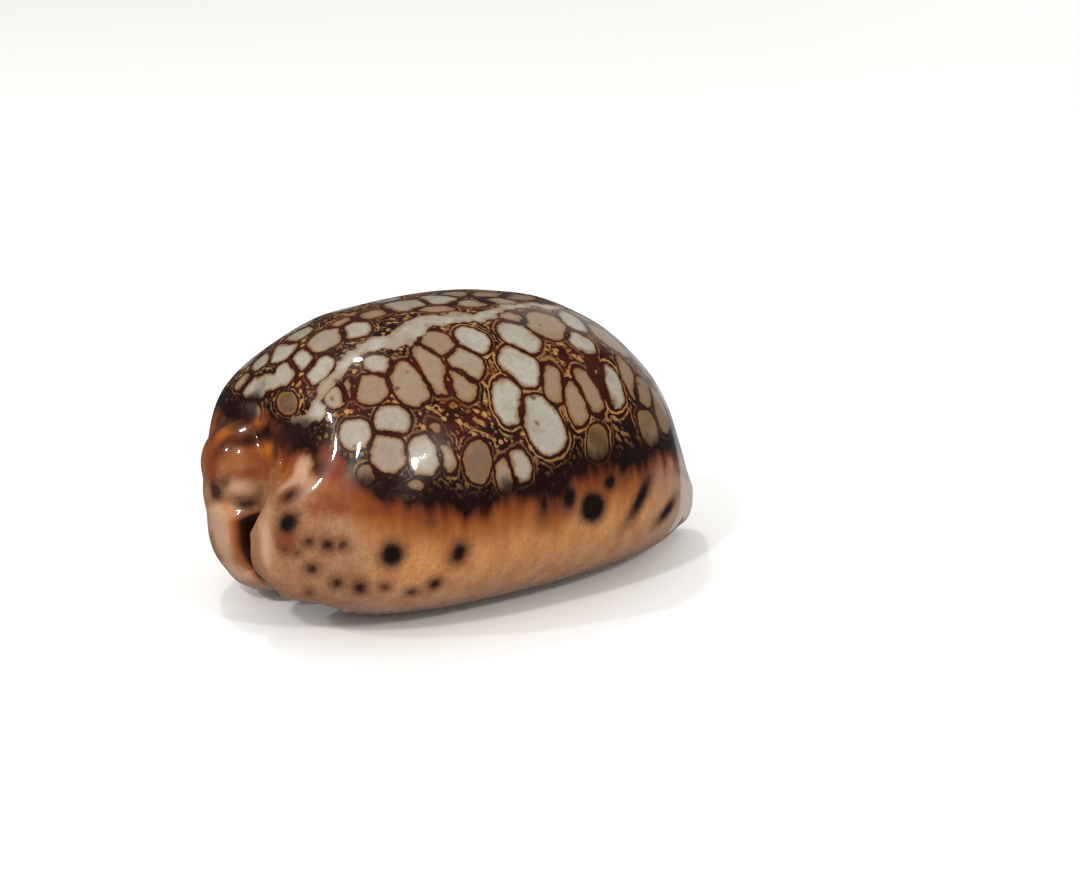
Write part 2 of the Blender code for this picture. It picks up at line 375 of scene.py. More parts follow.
bpy.ops.object.select_all(action="DESELECT")
hollow.select_set(True)
shell.select_set(True)
bpy.context.view_layer.objects.active = shell
bpy.ops.object.join()
bpy.ops.object.mode_set(mode="EDIT")
bpy.ops.mesh.select_mode(type="EDGE")
bpy.ops.mesh.select_all(action="DESELECT")
bpy.ops.mesh.select_non_manifold()
bpy.ops.mesh.bridge_edge_loops()
bpy.ops.mesh.select_all(action="SELECT")
bpy.ops.mesh.normals_make_consistent(inside=False)
bpy.ops.object.mode_set(mode="OBJECT")
bpy.ops.object.shade_smooth()

along = read(shell.data, "along")
around = read(shell.data, "around")
rings = read(shell.data, "ring")
skin = read_places(shell.data) / MM
facing = np.empty(len(shell.data.vertices) * 3, dtype=np.float32)
shell.data.vertex_normals.foreach_get("vector", facing)
facing = facing.reshape(-1, 3).astype(float)

# The glaze isn't quite even: low swells, flat where the base rests, break up what it mirrors.
uneven = np.array([swell.noise(Vector(point) / SWELL_LENGTH) for point in skin])
uneven *= SWELL_HEIGHT * smooth_step(skin[:, 2], *SWELL_FROM_HEIGHT) * (rings < 0.5)
skin = skin + facing * uneven[:, None]
shell.data.vertices.foreach_set("co", (skin * MM).ravel())


# The shell: its markings
# The mantle laid a dark brown net over pale round cells, thick and nearly black above the margins, and left a
# pale line where its two edges met. The margins are tan with dark spots. All of it is colour under the glaze,
# except painted shade in the crease round the knob and at the posterior canal's entrance.

# Cells that the camera sees: middle, length and breadth in the photograph's pixels, tilt in degrees, then the
# tone from pale grey, 0, to brown, 1, how strong the tan ring is, and the chain that joined cells belong to.
PALE_CELLS = (
    (283, 351, 27, 13, 30, 0.1, 0.2, 0),
    (302, 359, 18, 17, 0, 0.1, 0.2, 0),
    (320, 369, 27, 17, 42, 0.1, 0.2, 0),
    (325, 339, 35, 17, 28, 0.3, 0.2, 0),
    (356, 328, 25, 15, 8, 0.1, 0.2, 0),
    (254, 389, 18, 18, 40, 0.1, 0.0, 1),
    (268, 382, 24, 12, 12, 0.2, 0.0, 1),
    (285, 373, 19, 15, 60, 0.1, 0.0, 1),
    (253, 411, 20, 13, 90, 0.1, 0.6, 0),
    (287, 403, 18, 16, 90, 0.9, 0.3, 0),
    (378, 365, 24, 17, -12, 0.2, 0.2, 0),
    (371, 388, 32, 28, 20, 0.5, 0.3, 0),
    (350, 388, 13, 9, 80, 0.3, 0.2, 0),
    (334, 397, 18, 17, 0, 0.3, 0.2, 0),
    (409, 382, 43, 32, -55, 0.4, 0.3, 0),
    (432, 370, 48, 22, -55, 0.4, 0.3, 0),
    (438, 342, 30, 18, -20, 0.6, 0.2, 0),
    (393, 420, 32, 25, -5, 0.2, 0.5, 0),
    (355, 434, 27, 27, 0, 0.2, 0.2, 0),
    (388, 453, 35, 30, -80, 0.3, 0.2, 0),
    (424, 455, 36, 27, -85, 0.2, 0.3, 0),
    (437, 432, 14, 7, -60, 0.6, 0.2, 0),
    (447, 454, 23, 9, -72, 0.3, 0.4, 0),
    (472, 339, 34, 19, -25, 0.0, 0.8, 0),
    (466, 363, 35, 23, -35, 0.3, 0.3, 0),
    (461, 384, 33, 21, -50, 0.5, 0.3, 0),
    (508, 401, 41, 26, -72, 0.0, 1.0, 0),
    (520, 336, 43, 20, -28, 0.1, 0.5, 0),
    (521, 366, 46, 26, -40, 0.0, 1.0, 0),
    (544, 425, 58, 33, -65, 0.1, 0.7, 0),
    (547, 325, 40, 21, -20, 0.6, 0.4, 0),
    (573, 322, 32, 11, -32, 0.1, 0.3, 0),
    (582, 342, 31, 14, -42, 0.1, 0.7, 0),
    (553, 383, 34, 17, -75, 0.5, 0.6, 0),
    (576, 402, 39, 17, -70, 0.5, 1.0, 0),
    (590, 391, 42, 15, -62, 0.6, 0.7, 0),
    (599, 374, 34, 8, -62, 0.6, 0.2, 0),
    (612, 386, 40, 17, -68, 0.1, 1.0, 0),
    (628, 376, 36, 9, -66, 0.6, 0.3, 0),
    (644, 392, 29, 13, -65, 0.7, 0.3, 0),
    (649, 427, 36, 15, -70, 0.8, 0.2, 0),
    (661, 411, 42, 9, -72, 0.7, 0.2, 0),
    (598, 442, 30, 18, 90, 0.95, 0.6, 0),
    (478, 462, 36, 23, 90, 0.8, 0.2, 0),
    (520, 466, 29, 17, -75, 0.2, 0.3, 0),
    (505, 476, 28, 15, -80, 0.4, 0.4, 0),
    (404, 305, 40, 9, 5, 0.2, 0.2, 0),
    (439, 299, 34, 8, -2, 0.1, 0.2, 0),
    (456, 294, 26, 4, 0, 0.3, 0.0, 0),
    (372, 314, 30, 6, 14, 0.5, 0.4, 0),
    (343, 322, 20, 5, 20, 0.5, 0.4, 0),
    (436, 309, 26, 4, 2, 0.5, 0.6, 0),
    (470, 303, 30, 5, -2, 0.3, 0.3, 0),
    (502, 301, 26, 4, -5, 0.3, 0.3, 0),
    (488, 294, 32, 4, -1, 0.5, 0.0, 0),
    (520, 297, 28, 4, -5, 0.5, 0.0, 0),
    (298, 335, 26, 7, 30, 0.2, 0.2, 0),
    (262, 361, 22, 7, 40, 0.2, 0.2, 0),
    (243, 382, 17, 7, 48, 0.3, 0.2, 0),
    (511, 317, 20, 7, -15, 0.6, 0.2, 0),
    (594, 367, 22, 9, -66, 0.7, 0.3, 0),
    (608, 339, 46, 8, -38, 0.6, 0.0, 0),
    (366, 475, 14, 11, -60, 0.8, 0.6, 0),
    (404, 496, 12, 8, 0, 0.8, 0.3, 0),
    (414, 486, 12, 6, 20, 0.6, 0.3, 0),
)
# The mantle's meeting line, from the spire end over the back: places and widths in the photograph's pixels.
MANTLE_LINE = (
    (293, 421, 5), (305, 418, 8), (319, 411, 15), (317, 397, 9), (326, 385, 9), (338, 372, 10),
    (350, 358, 13), (362, 348, 17), (380, 344, 20), (395, 341, 22), (410, 331, 24), (425, 320, 20),
    (440, 320, 19), (455, 318, 17), (472, 317, 13), (487, 316, 11), (500, 310, 8), (515, 306, 8),
    (532, 304, 9), (546, 307, 8),
)
# The rest of that line, out of sight along the back to the anterior end: places in mm and widths in pixels.
FAR_MANTLE_LINE = ((17.0, -1.2, 8), (23.0, -0.2, 9), (27.0, 0.4, 8), (29.6, 0.5, 5))
# Spots on the outer lip's margin: middle, length and breadth in the photograph's pixels, tilt in degrees, and
# how dark each is, from a faint brown cloud, 0, to black, 1.
MARGIN_SPOTS = (
    (288, 523, 24, 19, 70, 0.8), (289, 496, 22, 11, 40, 0.5), (309, 542, 13, 11, 0, 0.6),
    (328, 545, 15, 13, 0, 0.7), (342, 545, 14, 12, 0, 0.5), (312, 569, 14, 12, 0, 0.6),
    (285, 549, 10, 9, 0, 0.3), (297, 553, 11, 9, 0, 0.3), (392, 555, 23, 21, 60, 1.0),
    (337, 583, 16, 13, 0, 0.4), (360, 588, 16, 14, 0, 0.6), (385, 587, 14, 10, 0, 0.3),
    (412, 592, 16, 9, 10, 0.3), (435, 584, 15, 10, 30, 0.7), (459, 553, 21, 14, 65, 0.9),
    (309, 593, 10, 8, 0, 0.3), (430, 521, 8, 7, 0, 0.4), (544, 503, 26, 9, 88, 0.9),
    (569, 497, 24, 14, 85, 1.0), (593, 507, 30, 23, 80, 1.0), (610, 482, 17, 12, 70, 0.9),
    (641, 497, 48, 9, 66, 0.9), (667, 511, 28, 7, 57, 0.8), (624, 462, 30, 12, 86, 0.9),
)
# Stains on the knob, the shoulder and round the posterior canal, given in the same way: rust, pale greyish
# callus, dark brown, and the bright orange brown of the canal and the knob's nose. The dark brown ones are
# partly real streaks and spots and partly painted shade, in the crease round the knob and at the canal's
# entrance.
RUST_STAINS = (
    (246, 428, 50, 12, 2), (212, 456, 60, 15, 70), (282, 438, 26, 10, -60), (335, 466, 40, 18, -60),
    (332, 505, 44, 18, 4), (378, 510, 50, 8, -4), (288, 496, 22, 10, 40), (286, 540, 28, 22, -60),
    (248, 474, 36, 10, 14), (262, 456, 16, 14, 0),
)
PALE_STAINS = (
    (303, 470, 14, 22, 0), (296, 484, 28, 16, 30), (240, 486, 20, 14, 0), (222, 536, 60, 16, 92),
    (232, 572, 30, 16, -48), (265, 540, 46, 10, -84), (208, 520, 34, 12, 80), (286, 600, 30, 8, -14),
)
# Dark streaks and spots on the knob, and painted shade in the crease round its top and right and at the
# canal's entrance.
DARK_STAINS_AND_CREASE_SHADE = (
    (258, 433, 28, 8, -25), (222, 446, 20, 5, 50), (250, 441, 26, 6, 10), (246, 503, 20, 8, 0),
    (216, 491, 13, 18, 0), (250, 410, 46, 14, 72), (292, 434, 40, 24, 30), (276, 446, 5, 26, 0),
    (684, 474, 8, 4, -50),
)
ORANGE_STAINS = (
    (228, 430, 24, 7, 34), (250, 427, 18, 9, 0), (267, 448, 14, 12, 0), (202, 484, 10, 26, 85),
    (238, 542, 56, 11, -78), (252, 568, 26, 10, -50),
)
# How high the net's lower edge runs, in mm, at stations along the shell.
NET_EDGE_X = (-35.0, -30.0, -27.5, -26.0, -23.0, -20.5, -14.0, -1.0, 6.0, 11.0, 21.0, 27.0, 33.0, 37.0)
NET_EDGE_Z = (23.5, 24.0, 23.4, 21.7, 19.8, 18.7, 17.4, 16.7, 18.3, 17.8, 17.0, 15.5, 12.5, 10.0)
CELL_CLASSES = 6
OVAL_FULLNESS = 2.35
LONGEST_HALF_MARK = 7.0
MARK_DEPTH = 2.5
FAR = 9.0
NOWHERE = 90.0
ABOVE_THE_BACK = 60.0
# Seeded cells on the sides that the camera doesn't see, and dots between all cells: how many, smallest and
# largest radius and the least gap, in mm. They keep off the net's edge and the mantle line. Large ones are
# smaller near that edge. A side goes from -1, turned away from the camera, to 1, turned towards it.
LARGE_CELLS = (150, 1.5, 2.7, 0.2)
SMALL_CELLS = (420, 0.28, 0.75, 0.35)
MOST_TRIES = 30000
LARGEST_STRETCH = 1.5
CELLS_OVER_EDGE = 1.0
CELLS_OFF_MANTLE = 0.3
MANTLE_ROOM_SHARE = 0.6
MANTLE_ROOM_GAP = 0.2
LOWEST_CELL_SIZE = 0.55
FULL_SIZE_HEIGHT = 9.0
LARGE_TONES = (0.0, 0.1, 0.2, 0.4, 0.5)
SMALL_TONES = (0.6, 1.0)
RING_STRENGTHS = (0.2, 0.5, 1.0)
HIDDEN_SIDE = 0.12
# Seeded spots on the margins that the camera doesn't see.
HIDDEN_SPOTS = 70
SPOTS_UNDER_EDGE = -2.0
SPOTS_OVER_TABLE = 3.5
SPOTS_SIDE = -0.05
HIDDEN_SPOT_RADII = (0.5, 1.5)
HIDDEN_SPOT_STRETCH = 1.2
HIDDEN_SPOT_GAP = 0.8
FAINTEST_HIDDEN_SPOT = 0.8
FAINT_SPOT = 0.7
INSIDE_BY_RING = 0.7 * LIP_STEPS

outside = rings < 0.5
surface = BVHTree.FromObject(shell, bpy.context.evaluated_depsgraph_get())


def sight(x, y):
    """The way from the camera through a pixel of the photograph."""
    across = (x - PHOTO_MIDDLE[0]) / FOCAL_PIXELS
    down = (y - PHOTO_MIDDLE[1]) / FOCAL_PIXELS
    return (forward + rightward * across - upward * down).normalized()


def under_pixel(x, y):
    """The point of the shell under a pixel in mm, and the way that its surface faces."""
    place, normal, _, _ = surface.ray_cast(eye, sight(x, y))
    if place is None:
        return None
    return np.array(place) / MM, np.array(normal)


def on_tangent(x, y, place, normal):
    """Where a pixel's line of sight meets the plane that touches the shell at a place."""
    start = np.array(eye) / MM
    way = np.array(sight(x, y))
    return start + way * (((place - start) @ normal) / (way @ normal))


def seen_mark(x, y, length, breadth, tilt):
    """An oval mark's middle, normal and its two half axes on the shell, in mm."""
    found = under_pixel(x, y)
    if found is None:
        return None
    place, normal = found
    cos, sin = math.cos(math.radians(tilt)), math.sin(math.radians(tilt))
    axes = []
    for across, up in ((length / 2 * cos, length / 2 * sin), (breadth / 2 * sin, -breadth / 2 * cos)):
        axis = on_tangent(x + across, y - up, place, normal) - place
        axes.append(axis * min(1.0, LONGEST_HALF_MARK / np.linalg.norm(axis)))
    return place, normal, axes[0], axes[1]


def round_mark(place, normal, radius, stretch, turn):
    """A seeded oval mark on the shell, stretched along its first axis."""
    first = np.cross(normal, (0.0, 1.0, 0.01))
    first /= np.linalg.norm(first)
    second = np.cross(normal, first)
    cos, sin = math.cos(turn), math.sin(turn)
    long_axis = (first * cos + second * sin) * radius * stretch
    short_axis = (second * cos - first * sin) * radius
    return place, normal, long_axis, short_axis


def far_from(mark, points):
    """How far each point is outside an oval mark, in mm, and less than 0 inside it."""
    place, normal, first, second = mark
    away = points - place
    height = np.abs(away @ normal)
    a, b, c = first @ first, first @ second, second @ second
    p, q = away @ first, away @ second
    spread = a * c - b * b
    u = (p * c - q * b) / spread
    v = (q * a - p * b) / spread
    breadth = math.sqrt(spread / max(a, c))
    out = (np.abs(u) ** OVAL_FULLNESS + np.abs(v) ** OVAL_FULLNESS) ** (1.0 / OVAL_FULLNESS)
    return (out - 1.0) * breadth + np.maximum(height - MARK_DEPTH, 0.0)


marks = []
for x, y, length, breadth, tilt, tone, ring, chain in PALE_CELLS:
    mark = seen_mark(x, y, length, breadth, tilt)
    if mark is not None:
        marks.append((mark, tone, ring, chain))

mantle = np.full(len(skin), FAR)
millimetres_per_pixel = VIEW_DISTANCE / MM / FOCAL_PIXELS
line = [(under_pixel(x, y)[0], width * millimetres_per_pixel / 2) for x, y, width in MANTLE_LINE]
for x, y, width in FAR_MANTLE_LINE:
    hit, _, _, _ = surface.ray_cast(Vector((x, y, ABOVE_THE_BACK)) * MM, Vector((0.0, 0.0, -1.0)))
    line.append((np.array(hit) / MM, width * millimetres_per_pixel / 2))
for (start, start_half), (end, end_half) in zip(line, line[1:]):
    step = end - start
    share = np.clip((skin - start) @ step / (step @ step), 0.0, 1.0)
    apart = np.linalg.norm(skin - start - share[:, None] * step, axis=-1)
    mantle = np.minimum(mantle, apart - start_half - (end_half - start_half) * share)

net_edge = np.interp(skin[:, 0], NET_EDGE_X, NET_EDGE_Z)
height_over_edge = skin[:, 2] - net_edge

# Cells that the camera doesn't see are seeded over the rest of the back, large ones first, then dots between.
chance = random.Random(11)
nearest = np.full(len(skin), FAR)
for mark, _, _, _ in marks:
    nearest = np.minimum(nearest, far_from(mark, skin))
on_back = outside & (height_over_edge > CELLS_OVER_EDGE) & (mantle > CELLS_OFF_MANTLE)
on_back = np.flatnonzero(on_back)
to_eye = np.array(eye) / MM - skin
seen_side = (facing * to_eye).sum(axis=-1) / np.linalg.norm(to_eye, axis=-1)
tries = 0
for seeding in (LARGE_CELLS, SMALL_CELLS):
    goal, smallest, largest, gap = seeding
    large = seeding is LARGE_CELLS
    made = 0
    while made < goal and tries < MOST_TRIES:
        tries += 1
        chosen = on_back[chance.randrange(len(on_back))]
        radius = chance.uniform(smallest, largest)
        if large:
            full = min(1.0, height_over_edge[chosen] / FULL_SIZE_HEIGHT)
            radius *= LOWEST_CELL_SIZE + (1.0 - LOWEST_CELL_SIZE) * full
            if seen_side[chosen] > HIDDEN_SIDE:
                continue
        stretch = chance.uniform(1.0, LARGEST_STRETCH)
        mantle_room = radius * MANTLE_ROOM_SHARE + MANTLE_ROOM_GAP
        if nearest[chosen] < radius * stretch + gap or mantle[chosen] < mantle_room:
            continue
        mark = round_mark(skin[chosen], facing[chosen], radius, stretch, chance.uniform(0.0, math.pi))
        tone = chance.choice(LARGE_TONES) if large else chance.uniform(*SMALL_TONES)
        ring = chance.choice(RING_STRENGTHS) if large else 0.0
        marks.append((mark, tone, ring, 0))
        nearest = np.minimum(nearest, far_from(mark, skin))
        made += 1

# Cells that touch go to different classes, so that the thin lines between them stay sharp in the material.
middles = np.array([mark[0][0] for mark in marks])
sizes = np.array([0.5 * (np.linalg.norm(mark[0][2]) + np.linalg.norm(mark[0][3])) for mark in marks])
classes = []
for number, (mark, _, _, chain) in enumerate(marks):
    if chain and number and marks[number - 1][3] == chain:
        classes.append(classes[-1])
        continue
    room = []
    for kind in range(CELL_CLASSES):
        members = [n for n, other in enumerate(classes) if other == kind]
        if members:
            apart = np.linalg.norm(middles[members] - middles[number], axis=-1)
            room.append((apart - sizes[members] - sizes[number]).min())
        else:
            room.append(NOWHERE)
    classes.append(int(np.argmax(room)))
fields = np.full((CELL_CLASSES, len(skin)), FAR)
nearest = np.full(len(skin), NOWHERE)
tones = np.zeros(len(skin))
ring_shares = np.zeros(len(skin))
for (mark, tone, ring, _), kind in zip(marks, classes):
    reach = 2.0 * max(np.linalg.norm(mark[2]), np.linalg.norm(mark[3])) + FAR
    close = np.flatnonzero(np.abs(skin - mark[0]).max(axis=-1) < reach)
    apart = far_from(mark, skin[close])
    fields[kind, close] = np.minimum(fields[kind, close], apart)
    nearer = close[apart < nearest[close]]
    nearest[close] = np.minimum(nearest[close], apart)
    tones[nearer] = tone
    ring_shares[nearer] = ring

spots = np.full(len(skin), FAR)
for x, y, length, breadth, tilt, dark in MARGIN_SPOTS:
    mark = seen_mark(x, y, length, breadth, tilt)
    if mark is not None:
        spots = np.minimum(spots, far_from(mark, skin) + FAINT_SPOT * (1.0 - dark))
low_enough = (height_over_edge < SPOTS_UNDER_EDGE) & (skin[:, 2] > SPOTS_OVER_TABLE)
on_margin = np.flatnonzero(outside & low_enough & (seen_side < SPOTS_SIDE))
for _ in range(HIDDEN_SPOTS):
    chosen = on_margin[chance.randrange(len(on_margin))]
    radius = chance.uniform(*HIDDEN_SPOT_RADII)
    if spots[chosen] > radius + HIDDEN_SPOT_GAP:
        turn = chance.uniform(0.0, math.pi)
        mark = round_mark(skin[chosen], facing[chosen], radius, HIDDEN_SPOT_STRETCH, turn)
        faint = FAINT_SPOT * chance.uniform(0.0, FAINTEST_HIDDEN_SPOT)
        spots = np.minimum(spots, far_from(mark, skin) + faint)

stain_and_shade_fields = []
for stains_and_shade in (RUST_STAINS, PALE_STAINS, DARK_STAINS_AND_CREASE_SHADE, ORANGE_STAINS):
    apart = np.full(len(skin), FAR)
    for x, y, length, breadth, tilt in stains_and_shade:
        mark = seen_mark(x, y, length, breadth, tilt)
        if mark is not None:
            apart = np.minimum(apart, far_from(mark, skin))
    stain_and_shade_fields.append(apart)
inside = smooth_step(rings, 0.5, INSIDE_BY_RING)
tooth = tooth_share(skin[:, 0], around) * (rings <= LIP_STEPS)

write(shell.data, "cells_a", fields[:3].T)
write(shell.data, "cells_b", fields[3:].T)
write(shell.data, "cell_look", np.stack([tones, ring_shares, stain_and_shade_fields[3]], axis=-1))
write(shell.data, "marks", np.stack([mantle, height_over_edge, spots], axis=-1))
write(shell.data, "places", np.stack([np.abs(around), inside, tooth], axis=-1))
write(shell.data, "stains_and_shade", np.stack(stain_and_shade_fields[:3], axis=-1))
for name in ("along", "around", "ring"):
    shell.data.attributes.remove(shell.data.attributes[name])


# The shell: its glaze
# Clear glossy enamel over the colours. The net is dark red brown with fine gold flecks, the cells are greyish
# to beige, the margins grade from orange tan to a cream base, and the canals are stained orange brown. The
# inside is lilac, with painted shade deep in by the spire.

DARK_NET = (0.009, 0.0012, 0.0008)
RED_NET = (0.040, 0.0055, 0.002)
GOLD = (0.35, 0.18, 0.058)
RING_TAN = (0.27, 0.13, 0.038)
FLECK_BROWN = (0.17, 0.06, 0.015)
LINE_BROWN = (0.030, 0.004, 0.002)
CELL_GREY = (0.30, 0.29, 0.243)
CELL_BEIGE = (0.22, 0.147, 0.094)
CELL_BROWN = (0.062, 0.032, 0.010)
CELL_EDGE = (0.17, 0.080, 0.02)
MANTLE_PALE = (0.25, 0.195, 0.145)
MARGIN_BROWN = (0.20, 0.052, 0.008)
MARGIN_TAN = (0.42, 0.185, 0.056)
MARGIN_PINK = (0.33, 0.175, 0.10)
POSTERIOR_GREY = (0.21, 0.108, 0.056)
ANTERIOR_PINK = (0.36, 0.23, 0.16)
BASE_CREAM = (0.44, 0.30, 0.22)
EDGE_ORANGE = (0.11, 0.020, 0.004)
SPOT_BROWN = (0.085, 0.028, 0.012)
SPOT_BLACK = (0.005, 0.0012, 0.001)
RUST = (0.15, 0.030, 0.008)
ORANGE = (0.36, 0.10, 0.008)
PALE_CALLUS = (0.42, 0.25, 0.155)
# Next: the dark of the dark stains, partly painted shade in the crease round the knob and at the canal's
# entrance.
STAIN_AND_SHADE_DARK = (0.012, 0.0035, 0.003)
CANAL_ORANGE = (0.20, 0.045, 0.008)
# Next: painted shade for the inside deep in by the spire.
CANAL_PAINTED_SHADE = (0.018, 0.003, 0.002)
INSIDE_LILAC = (0.42, 0.33, 0.33)
TOOTH_BROWN = (0.17, 0.05, 0.016)
# Cloudy patterns: clouds to a mm, detail and, for some, roughness.
WOBBLE = (0.55, 3.0)
FINE_WOBBLE = (2.2, 2.0)
DRIPS = (0.42, 2.0)
MOTTLE = (0.2, 4.0, 0.55)
CREAM_CLOUDS = (1.1, 4.0, 0.7)
GLAZE_GRAIN = (1.4, 4.0, 0.6)
# Warps: waves to a mm, and how far they push what lies on them, in mm.
FLECK_WARP = (0.5, 1.0)
FLECK_FINE_WARP = (2.2, 0.35)
SPECK_WARP = (1.0, 0.5)
DRIP_WARP = (0.3, 1.5)
# Cloudy patches: clouds to a mm, detail, and the values of the pattern where a patch starts and is full. The
# cream clouds have only these two values here.
LINE_PATCHES = (0.35, 2.0, 0.3, 0.7)
RED_PATCHES = (0.28, 3.0, 0.35, 0.6)
GOLD_PATCHES = (0.9, 2.0, 0.35, 0.6)
CONTOUR_PATCHES = (0.5, 2.0, 0.45, 0.55)
RING_PATCHES = (0.3, 2.0, 0.35, 0.48)
BEIGE_PATCHES = (0.35, 3.0, 0.4, 0.75)
CELL_MOTTLE = (1.6, 3.0, 0.35, 0.7)
SEAM_PATCHES = (0.4, 3.0, 0.35, 0.7)
MARGIN_GRAIN = (2.6, 2.0, 0.4, 0.65)
MARGIN_STREAKS = (0.5, 3.0, 0.35, 0.7)
GLAZE_PATCHES = (0.6, 3.0, 0.3, 0.7)
CREAM_FROM = (0.35, 0.75)
# Widths of lines and rings in mm, measured outwards from a cell's edge, and flecks to a mm.
CELL_SPREAD = 0.36
CELL_WOBBLE = 0.9
CELL_FINE_WOBBLE = 0.12
CELL_STARTS = (0.0, -0.17)
LINE_SHADE = (0.45, 0.0)
FLECKS_START = (0.25, 0.4)
LINE_HALF = (0.2, 0.32)
RIM_INSIDE = (-0.55, -0.12)
RING_BAND = (0.22, 0.48)
CONTOUR_BAND = (0.72, 0.96)
BAND_EDGE = 0.06
FLECKS = 1.15
SMALL_FLECKS = 1.8
FLECK_EDGE = (0.40, 0.28)
FLECK_LEFT_OUT = (0.12, 0.2)
SMALL_FLECK_EDGE = (0.38, 0.24)
SMALL_FLECK_LEFT_OUT = (0.35, 0.45)
SMALL_FLECK_SHARE = 0.6
FLECK_SLANT = -35.0
FLECK_STRETCH = 2.1
SPECKS = 0.42
SPECK_EDGE = (0.22, 0.08)
SPECK_LEFT_OUT = (0.72, 0.8)
MANTLE_WOBBLE = 3.0
MANTLE_LINE_EDGE = (0.25, 0.0)
MANTLE_OUTLINE = (0.5, 0.2)
# Where colours change, in mm: over the net's lower edge, over the table, along the shell and round marks.
RED_NET_HEIGHT = (11.0, 4.0)
FLECK_HEIGHT = (1.5, 7.0)
DARK_BAND_HEIGHT = (3.5, 0.8)
DRIP_HEIGHT = 5.5
MOTTLE_HEIGHT = 9.0
BROWN_BAND_HEIGHT = (-7.0, -1.5)
ORANGE_BAND_HEIGHT = (-2.6, -0.4)
NET_STARTS = (-1.3, 0.8)
TAN_TO_PINK_HEIGHT = (11.5, 4.0)
POSTERIOR_STATION = (-21.0, -28.0)
ANTERIOR_STATION = (12.0, 28.0)
SHADE_TO_LILAC_STATION = (-26.0, -18.0)
BASE_TURN = (0.72, 0.9)
STAIN_EDGE = (0.9, -0.7)
HALO_EDGE = (1.5, -0.3)
SPOT_EDGE = (0.35, -0.6)
GLAZE_ROUGHNESS = 0.25
GLAZE_ROUGHNESS_SPREAD = 0.12
SPECULAR_LEVEL = 0.15
COAT_WEIGHT = 0.55
COAT_ROUGHNESS = 0.03
BUMP_STRENGTH = 0.25
BUMP_HEIGHT = 0.05

material = bpy.data.materials.new("glazed shell")
material.use_nodes = True
nodes = material.node_tree.nodes
links = material.node_tree.links
glaze = nodes["Principled BSDF"]


def feed(socket, value):
    """Joins another node's output to a socket, or sets the socket to a number or a colour."""
    if isinstance(value, bpy.types.NodeSocket):
        links.new(value, socket)
    elif isinstance(value, tuple) and len(value) == 3 and socket.type == "RGBA":
        socket.default_value = (*value, 1.0)
    else:
        socket.default_value = value


def calc(operation, first, second=0.0):
    made = nodes.new("ShaderNodeMath")
    made.operation = operation
    feed(made.inputs[0], first)
    feed(made.inputs[1], second)
    return made.outputs[0]


def ease(value, low, high, start=0.0, end=1.0):
    """Eases from start to end while the value goes from low to high."""
    made = nodes.new("ShaderNodeMapRange")
    made.interpolation_type = "SMOOTHSTEP"
    for number, given in enumerate((value, low, high, start, end)):
        feed(made.inputs[number], given)
    return made.outputs[0]


def tint(share, first, second):
    """The first colour, with the second over it by the share."""
    made = nodes.new("ShaderNodeMix")
    made.data_type = "RGBA"
    feed(made.inputs[0], share)
    feed(made.inputs[6], first)
    feed(made.inputs[7], second)
    return made.outputs[2]


def both(first, second):
    """Where the two shares overlap."""
    return calc("MULTIPLY", first, second)


def band(value, low, high):
    """A line with soft edges, where the value lies between low and high."""
    return both(ease(value, low, low + BAND_EDGE), ease(value, high, high - BAND_EDGE))


def parts(vector):
    split = nodes.new("ShaderNodeSeparateXYZ")
    links.new(vector, split.inputs[0])
    return split.outputs[0], split.outputs[1], split.outputs[2]


def kept(name):
    """The three numbers kept for each place of the shell under a name."""
    source = nodes.new("ShaderNodeAttribute")
    source.attribute_name = name
    return parts(source.outputs["Vector"])


def stretched(x, y, z):
    """Places on the shell in mm, squeezed by three factors."""
    made = nodes.new("ShaderNodeMapping")
    links.new(nodes.new("ShaderNodeTexCoord").outputs["Object"], made.inputs["Vector"])
    made.inputs["Scale"].default_value = (x / MM, y / MM, z / MM)
    return made.outputs[0]


def slanted(slant, stretch):
    """Places on the shell in mm, drawn out along lines that lean from the vertical by an angle in degrees."""
    made = nodes.new("ShaderNodeMapping")
    made.vector_type = "TEXTURE"
    links.new(nodes.new("ShaderNodeTexCoord").outputs["Object"], made.inputs["Vector"])
    made.inputs["Rotation"].default_value = (0.0, math.radians(slant), 0.0)
    made.inputs["Scale"].default_value = (MM, MM, MM * stretch)
    return made.outputs[0]


def warped(places, scale, amount):
    """The places pushed about by a noise, so that what lies on them is no longer regular."""
    push = nodes.new("ShaderNodeTexNoise")
    feed(push.inputs["Vector"], places)
    push.inputs["Scale"].default_value = scale
    push.inputs["Detail"].default_value = 1.0
    made = nodes.new("ShaderNodeVectorMath")
    made.operation = "MULTIPLY_ADD"
    feed(made.inputs[0], push.outputs["Color"])
    feed(made.inputs[1], (amount, amount, amount))
    feed(made.inputs[2], places)
    return made.outputs[0]


def noise(places, scale, detail=2.0, roughness=0.5):
    """A cloudy pattern from 0 to 1, with its scale in clouds to a mm."""
    made = nodes.new("ShaderNodeTexNoise")
    feed(made.inputs["Vector"], places)
    made.inputs["Scale"].default_value = scale
    made.inputs["Detail"].default_value = detail
    made.inputs["Roughness"].default_value = roughness
    return made.outputs["Factor"] if "Factor" in made.outputs else made.outputs["Fac"]


def wavering(places, scale, detail, roughness=0.5):
    """The same pattern, going up and down round 0."""
    return calc("SUBTRACT", noise(places, scale, detail, roughness), 0.5)


def patches(places, scale, detail, low, high, start=0.0, end=1.0):
    """Cloudy patches, which ease from start to end while the pattern goes from low to high."""
    return ease(noise(places, scale, detail), low, high, start, end)


